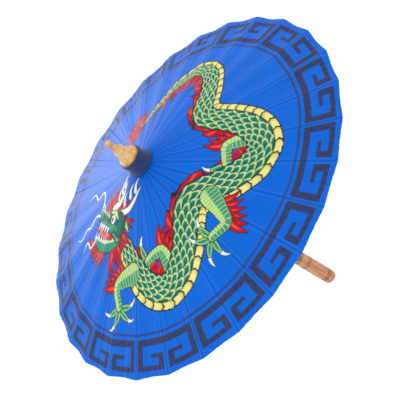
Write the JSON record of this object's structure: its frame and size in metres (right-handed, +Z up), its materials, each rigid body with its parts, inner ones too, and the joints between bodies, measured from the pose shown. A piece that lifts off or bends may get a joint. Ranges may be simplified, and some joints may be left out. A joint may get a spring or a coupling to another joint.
{
  "type": "paper parasol",
  "caption": "Open painted paper parasol: turned finial and handle, bamboo ribs and stretchers, and a runner that folds it down the pole.",
  "frame": {"origin": "middle of the handle's grip, on the pole's axis", "axes": "+Z up the pole to the finial, +X out along the first rib"},
  "size_m": [0.83, 0.83, 0.7095],
  "materials": {
    "painted_paper": "blue waxed paper, hand painted, soft sheen",
    "cap_cloth": "dark blue woven cloth",
    "finial_wood": "light turned wood, clear varnish",
    "turned_wood": "warm turned wood, satin varnish",
    "split_bamboo": "split bamboo, bare",
    "bamboo": "round bamboo, smoothed",
    "binding_wire": "drawn wire"
  },
  "bodies": {
    "shaft": {"pole": "bamboo", "handle": "turned_wood", "head": "turned_wood", "head_wire": "binding_wire", "finial": "finial_wood", "cap": "cap_cloth", "cap_cord_upper": "cap_cloth", "cap_cord_lower": "cap_cloth", "canopy": "painted_paper"},
    "catch": {"catch": "bamboo"},
    "runner": {"runner": "turned_wood", "runner_wire": "binding_wire"},
    "rib_01": {"rib_01": "split_bamboo"},
    "rib_02": {"rib_02": "split_bamboo"},
    "rib_03": {"rib_03": "split_bamboo"},
    "rib_04": {"rib_04": "split_bamboo"},
    "rib_05": {"rib_05": "split_bamboo"},
    "rib_06": {"rib_06": "split_bamboo"},
    "rib_07": {"rib_07": "split_bamboo"},
    "rib_08": {"rib_08": "split_bamboo"},
    "rib_09": {"rib_09": "split_bamboo"},
    "rib_10": {"rib_10": "split_bamboo"},
    "rib_11": {"rib_11": "split_bamboo"},
    "rib_12": {"rib_12": "split_bamboo"},
    "rib_13": {"rib_13": "split_bamboo"},
    "rib_14": {"rib_14": "split_bamboo"},
    "rib_15": {"rib_15": "split_bamboo"},
    "rib_16": {"rib_16": "split_bamboo"},
    "rib_17": {"rib_17": "split_bamboo"},
    "rib_18": {"rib_18": "split_bamboo"},
    "rib_19": {"rib_19": "split_bamboo"},
    "rib_20": {"rib_20": "split_bamboo"},
    "rib_21": {"rib_21": "split_bamboo"},
    "rib_22": {"rib_22": "split_bamboo"},
    "rib_23": {"rib_23": "split_bamboo"},
    "rib_24": {"rib_24": "split_bamboo"},
    "rib_25": {"rib_25": "split_bamboo"},
    "rib_26": {"rib_26": "split_bamboo"},
    "rib_27": {"rib_27": "split_bamboo"},
    "rib_28": {"rib_28": "split_bamboo"},
    "stretcher_pair_01": {"stretcher_pair_01": "split_bamboo"},
    "stretcher_pair_02": {"stretcher_pair_02": "split_bamboo"},
    "stretcher_pair_03": {"stretcher_pair_03": "split_bamboo"},
    "stretcher_pair_04": {"stretcher_pair_04": "split_bamboo"},
    "stretcher_pair_05": {"stretcher_pair_05": "split_bamboo"},
    "stretcher_pair_06": {"stretcher_pair_06": "split_bamboo"},
    "stretcher_pair_07": {"stretcher_pair_07": "split_bamboo"},
    "stretcher_pair_08": {"stretcher_pair_08": "split_bamboo"},
    "stretcher_pair_09": {"stretcher_pair_09": "split_bamboo"},
    "stretcher_pair_10": {"stretcher_pair_10": "split_bamboo"},
    "stretcher_pair_11": {"stretcher_pair_11": "split_bamboo"},
    "stretcher_pair_12": {"stretcher_pair_12": "split_bamboo"},
    "stretcher_pair_13": {"stretcher_pair_13": "split_bamboo"},
    "stretcher_pair_14": {"stretcher_pair_14": "split_bamboo"}
  },
  "joints": [
    {"name": "runner_slide", "type": "slide", "parent": "shaft", "child": "runner", "axis": [0, 0, 1], "range_m": [-0.2593, 0], "deforming": ["canopy", "catch"]},
    {"name": "catch_press", "type": "hinge", "parent": "shaft", "child": "catch", "pos_m": [0.0009, 0, 0.3636], "axis": [0, 1, 0], "range_deg": [-6.5, 0], "stiffness_Nm_per_rad": 0.2},
    {"name": "rib_01_hinge", "type": "hinge", "parent": "shaft", "child": "rib_01", "pos_m": [0.0205, 0, 0.5515], "axis": [0, 1, 0], "range_deg": [0, 68]},
    {"name": "rib_02_hinge", "type": "hinge", "parent": "shaft", "child": "rib_02", "pos_m": [0.01999, 0.00456, 0.5515], "axis": [-0.2225, 0.9749, 0], "range_deg": [0, 68]},
    {"name": "rib_03_hinge", "type": "hinge", "parent": "shaft", "child": "rib_03", "pos_m": [0.01847, 0.00889, 0.5515], "axis": [-0.4339, 0.901, 0], "range_deg": [0, 68]},
    {"name": "rib_04_hinge", "type": "hinge", "parent": "shaft", "child": "rib_04", "pos_m": [0.01603, 0.01278, 0.5515], "axis": [-0.6235, 0.7818, 0], "range_deg": [0, 68]},
    {"name": "rib_05_hinge", "type": "hinge", "parent": "shaft", "child": "rib_05", "pos_m": [0.01278, 0.01603, 0.5515], "axis": [-0.7818, 0.6235, 0], "range_deg": [0, 68]},
    {"name": "rib_06_hinge", "type": "hinge", "parent": "shaft", "child": "rib_06", "pos_m": [0.00889, 0.01847, 0.5515], "axis": [-0.901, 0.4339, 0], "range_deg": [0, 68]},
    {"name": "rib_07_hinge", "type": "hinge", "parent": "shaft", "child": "rib_07", "pos_m": [0.00456, 0.01999, 0.5515], "axis": [-0.9749, 0.2225, 0], "range_deg": [0, 68]},
    {"name": "rib_08_hinge", "type": "hinge", "parent": "shaft", "child": "rib_08", "pos_m": [0, 0.0205, 0.5515], "axis": [-1, 0, 0], "range_deg": [0, 68]},
    {"name": "rib_09_hinge", "type": "hinge", "parent": "shaft", "child": "rib_09", "pos_m": [-0.00456, 0.01999, 0.5515], "axis": [-0.9749, -0.2225, 0], "range_deg": [0, 68]},
    {"name": "rib_10_hinge", "type": "hinge", "parent": "shaft", "child": "rib_10", "pos_m": [-0.00889, 0.01847, 0.5515], "axis": [-0.901, -0.4339, 0], "range_deg": [0, 68]},
    {"name": "rib_11_hinge", "type": "hinge", "parent": "shaft", "child": "rib_11", "pos_m": [-0.01278, 0.01603, 0.5515], "axis": [-0.7818, -0.6235, 0], "range_deg": [0, 68]},
    {"name": "rib_12_hinge", "type": "hinge", "parent": "shaft", "child": "rib_12", "pos_m": [-0.01603, 0.01278, 0.5515], "axis": [-0.6235, -0.7818, 0], "range_deg": [0, 68]},
    {"name": "rib_13_hinge", "type": "hinge", "parent": "shaft", "child": "rib_13", "pos_m": [-0.01847, 0.00889, 0.5515], "axis": [-0.4339, -0.901, 0], "range_deg": [0, 68]},
    {"name": "rib_14_hinge", "type": "hinge", "parent": "shaft", "child": "rib_14", "pos_m": [-0.01999, 0.00456, 0.5515], "axis": [-0.2225, -0.9749, 0], "range_deg": [0, 68]},
    {"name": "rib_15_hinge", "type": "hinge", "parent": "shaft", "child": "rib_15", "pos_m": [-0.0205, 0, 0.5515], "axis": [0, -1, 0], "range_deg": [0, 68]},
    {"name": "rib_16_hinge", "type": "hinge", "parent": "shaft", "child": "rib_16", "pos_m": [-0.01999, -0.00456, 0.5515], "axis": [0.2225, -0.9749, 0], "range_deg": [0, 68]},
    {"name": "rib_17_hinge", "type": "hinge", "parent": "shaft", "child": "rib_17", "pos_m": [-0.01847, -0.00889, 0.5515], "axis": [0.4339, -0.901, 0], "range_deg": [0, 68]},
    {"name": "rib_18_hinge", "type": "hinge", "parent": "shaft", "child": "rib_18", "pos_m": [-0.01603, -0.01278, 0.5515], "axis": [0.6235, -0.7818, 0], "range_deg": [0, 68]},
    {"name": "rib_19_hinge", "type": "hinge", "parent": "shaft", "child": "rib_19", "pos_m": [-0.01278, -0.01603, 0.5515], "axis": [0.7818, -0.6235, 0], "range_deg": [0, 68]},
    {"name": "rib_20_hinge", "type": "hinge", "parent": "shaft", "child": "rib_20", "pos_m": [-0.00889, -0.01847, 0.5515], "axis": [0.901, -0.4339, 0], "range_deg": [0, 68]},
    {"name": "rib_21_hinge", "type": "hinge", "parent": "shaft", "child": "rib_21", "pos_m": [-0.00456, -0.01999, 0.5515], "axis": [0.9749, -0.2225, 0], "range_deg": [0, 68]},
    {"name": "rib_22_hinge", "type": "hinge", "parent": "shaft", "child": "rib_22", "pos_m": [0, -0.0205, 0.5515], "axis": [1, 0, 0], "range_deg": [0, 68]},
    {"name": "rib_23_hinge", "type": "hinge", "parent": "shaft", "child": "rib_23", "pos_m": [0.00456, -0.01999, 0.5515], "axis": [0.9749, 0.2225, 0], "range_deg": [0, 68]},
    {"name": "rib_24_hinge", "type": "hinge", "parent": "shaft", "child": "rib_24", "pos_m": [0.00889, -0.01847, 0.5515], "axis": [0.901, 0.4339, 0], "range_deg": [0, 68]},
    {"name": "rib_25_hinge", "type": "hinge", "parent": "shaft", "child": "rib_25", "pos_m": [0.01278, -0.01603, 0.5515], "axis": [0.7818, 0.6235, 0], "range_deg": [0, 68]},
    {"name": "rib_26_hinge", "type": "hinge", "parent": "shaft", "child": "rib_26", "pos_m": [0.01603, -0.01278, 0.5515], "axis": [0.6235, 0.7818, 0], "range_deg": [0, 68]},
    {"name": "rib_27_hinge", "type": "hinge", "parent": "shaft", "child": "rib_27", "pos_m": [0.01847, -0.00889, 0.5515], "axis": [0.4339, 0.901, 0], "range_deg": [0, 68]},
    {"name": "rib_28_hinge", "type": "hinge", "parent": "shaft", "child": "rib_28", "pos_m": [0.01999, -0.00456, 0.5515], "axis": [0.2225, 0.9749, 0], "range_deg": [0, 68]},
    {"name": "stretcher_pair_01_hinge", "type": "hinge", "parent": "runner", "child": "stretcher_pair_01", "pos_m": [0.01777, 0.002, 0.432], "axis": [-0.112, 0.9937, 0], "range_deg": [-70.7, 0], "deforming": ["stretcher_pair_01"]},
    {"name": "stretcher_pair_02_hinge", "type": "hinge", "parent": "runner", "child": "stretcher_pair_02", "pos_m": [0.01515, 0.00952, 0.432], "axis": [-0.532, 0.8467, 0], "range_deg": [-70.7, 0], "deforming": ["stretcher_pair_02"]},
    {"name": "stretcher_pair_03_hinge", "type": "hinge", "parent": "runner", "child": "stretcher_pair_03", "pos_m": [0.00952, 0.01515, 0.432], "axis": [-0.8467, 0.532, 0], "range_deg": [-70.7, 0], "deforming": ["stretcher_pair_03"]},
    {"name": "stretcher_pair_04_hinge", "type": "hinge", "parent": "runner", "child": "stretcher_pair_04", "pos_m": [0.002, 0.01777, 0.432], "axis": [-0.9937, 0.112, 0], "range_deg": [-70.7, 0], "deforming": ["stretcher_pair_04"]},
    {"name": "stretcher_pair_05_hinge", "type": "hinge", "parent": "runner", "child": "stretcher_pair_05", "pos_m": [-0.00591, 0.01688, 0.432], "axis": [-0.9439, -0.3303, 0], "range_deg": [-70.7, 0], "deforming": ["stretcher_pair_05"]},
    {"name": "stretcher_pair_06_hinge", "type": "hinge", "parent": "runner", "child": "stretcher_pair_06", "pos_m": [-0.01265, 0.01265, 0.432], "axis": [-0.7071, -0.7071, 0], "range_deg": [-70.7, 0], "deforming": ["stretcher_pair_06"]},
    {"name": "stretcher_pair_07_hinge", "type": "hinge", "parent": "runner", "child": "stretcher_pair_07", "pos_m": [-0.01688, 0.00591, 0.432], "axis": [-0.3303, -0.9439, 0], "range_deg": [-70.7, 0], "deforming": ["stretcher_pair_07"]},
    {"name": "stretcher_pair_08_hinge", "type": "hinge", "parent": "runner", "child": "stretcher_pair_08", "pos_m": [-0.01777, -0.002, 0.432], "axis": [0.112, -0.9937, 0], "range_deg": [-70.7, 0], "deforming": ["stretcher_pair_08"]},
    {"name": "stretcher_pair_09_hinge", "type": "hinge", "parent": "runner", "child": "stretcher_pair_09", "pos_m": [-0.01515, -0.00952, 0.432], "axis": [0.532, -0.8467, 0], "range_deg": [-70.7, 0], "deforming": ["stretcher_pair_09"]},
    {"name": "stretcher_pair_10_hinge", "type": "hinge", "parent": "runner", "child": "stretcher_pair_10", "pos_m": [-0.00952, -0.01515, 0.432], "axis": [0.8467, -0.532, 0], "range_deg": [-70.7, 0], "deforming": ["stretcher_pair_10"]},
    {"name": "stretcher_pair_11_hinge", "type": "hinge", "parent": "runner", "child": "stretcher_pair_11", "pos_m": [-0.002, -0.01777, 0.432], "axis": [0.9937, -0.112, 0], "range_deg": [-70.7, 0], "deforming": ["stretcher_pair_11"]},
    {"name": "stretcher_pair_12_hinge", "type": "hinge", "parent": "runner", "child": "stretcher_pair_12", "pos_m": [0.00591, -0.01688, 0.432], "axis": [0.9439, 0.3303, 0], "range_deg": [-70.7, 0], "deforming": ["stretcher_pair_12"]},
    {"name": "stretcher_pair_13_hinge", "type": "hinge", "parent": "runner", "child": "stretcher_pair_13", "pos_m": [0.01265, -0.01265, 0.432], "axis": [0.7071, 0.7071, 0], "range_deg": [-70.7, 0], "deforming": ["stretcher_pair_13"]},
    {"name": "stretcher_pair_14_hinge", "type": "hinge", "parent": "runner", "child": "stretcher_pair_14", "pos_m": [0.01688, -0.00591, 0.432], "axis": [0.3303, 0.9439, 0], "range_deg": [-70.7, 0], "deforming": ["stretcher_pair_14"]}
  ],
  "couplings": [
    {"joint": "rib_01_hinge", "follows": "runner_slide", "rad_per_m": -4.577},
    {"joint": "rib_02_hinge", "follows": "runner_slide", "rad_per_m": -4.577},
    {"joint": "rib_03_hinge", "follows": "runner_slide", "rad_per_m": -4.577},
    {"joint": "rib_04_hinge", "follows": "runner_slide", "rad_per_m": -4.577},
    {"joint": "rib_05_hinge", "follows": "runner_slide", "rad_per_m": -4.577},
    {"joint": "rib_06_hinge", "follows": "runner_slide", "rad_per_m": -4.577},
    {"joint": "rib_07_hinge", "follows": "runner_slide", "rad_per_m": -4.577},
    {"joint": "rib_08_hinge", "follows": "runner_slide", "rad_per_m": -4.577},
    {"joint": "rib_09_hinge", "follows": "runner_slide", "rad_per_m": -4.577},
    {"joint": "rib_10_hinge", "follows": "runner_slide", "rad_per_m": -4.577},
    {"joint": "rib_11_hinge", "follows": "runner_slide", "rad_per_m": -4.577},
    {"joint": "rib_12_hinge", "follows": "runner_slide", "rad_per_m": -4.577},
    {"joint": "rib_13_hinge", "follows": "runner_slide", "rad_per_m": -4.577},
    {"joint": "rib_14_hinge", "follows": "runner_slide", "rad_per_m": -4.577},
    {"joint": "rib_15_hinge", "follows": "runner_slide", "rad_per_m": -4.577},
    {"joint": "rib_16_hinge", "follows": "runner_slide", "rad_per_m": -4.577},
    {"joint": "rib_17_hinge", "follows": "runner_slide", "rad_per_m": -4.577},
    {"joint": "rib_18_hinge", "follows": "runner_slide", "rad_per_m": -4.577},
    {"joint": "rib_19_hinge", "follows": "runner_slide", "rad_per_m": -4.577},
    {"joint": "rib_20_hinge", "follows": "runner_slide", "rad_per_m": -4.577},
    {"joint": "rib_21_hinge", "follows": "runner_slide", "rad_per_m": -4.577},
    {"joint": "rib_22_hinge", "follows": "runner_slide", "rad_per_m": -4.577},
    {"joint": "rib_23_hinge", "follows": "runner_slide", "rad_per_m": -4.577},
    {"joint": "rib_24_hinge", "follows": "runner_slide", "rad_per_m": -4.577},
    {"joint": "rib_25_hinge", "follows": "runner_slide", "rad_per_m": -4.577},
    {"joint": "rib_26_hinge", "follows": "runner_slide", "rad_per_m": -4.577},
    {"joint": "rib_27_hinge", "follows": "runner_slide", "rad_per_m": -4.577},
    {"joint": "rib_28_hinge", "follows": "runner_slide", "rad_per_m": -4.577},
    {"joint": "stretcher_pair_01_hinge", "follows": "runner_slide", "rad_per_m": 4.7583},
    {"joint": "stretcher_pair_02_hinge", "follows": "runner_slide", "rad_per_m": 4.7583},
    {"joint": "stretcher_pair_03_hinge", "follows": "runner_slide", "rad_per_m": 4.7583},
    {"joint": "stretcher_pair_04_hinge", "follows": "runner_slide", "rad_per_m": 4.7583},
    {"joint": "stretcher_pair_05_hinge", "follows": "runner_slide", "rad_per_m": 4.7583},
    {"joint": "stretcher_pair_06_hinge", "follows": "runner_slide", "rad_per_m": 4.7583},
    {"joint": "stretcher_pair_07_hinge", "follows": "runner_slide", "rad_per_m": 4.7583},
    {"joint": "stretcher_pair_08_hinge", "follows": "runner_slide", "rad_per_m": 4.7583},
    {"joint": "stretcher_pair_09_hinge", "follows": "runner_slide", "rad_per_m": 4.7583},
    {"joint": "stretcher_pair_10_hinge", "follows": "runner_slide", "rad_per_m": 4.7583},
    {"joint": "stretcher_pair_11_hinge", "follows": "runner_slide", "rad_per_m": 4.7583},
    {"joint": "stretcher_pair_12_hinge", "follows": "runner_slide", "rad_per_m": 4.7583},
    {"joint": "stretcher_pair_13_hinge", "follows": "runner_slide", "rad_per_m": 4.7583},
    {"joint": "stretcher_pair_14_hinge", "follows": "runner_slide", "rad_per_m": 4.7583}
  ]
}
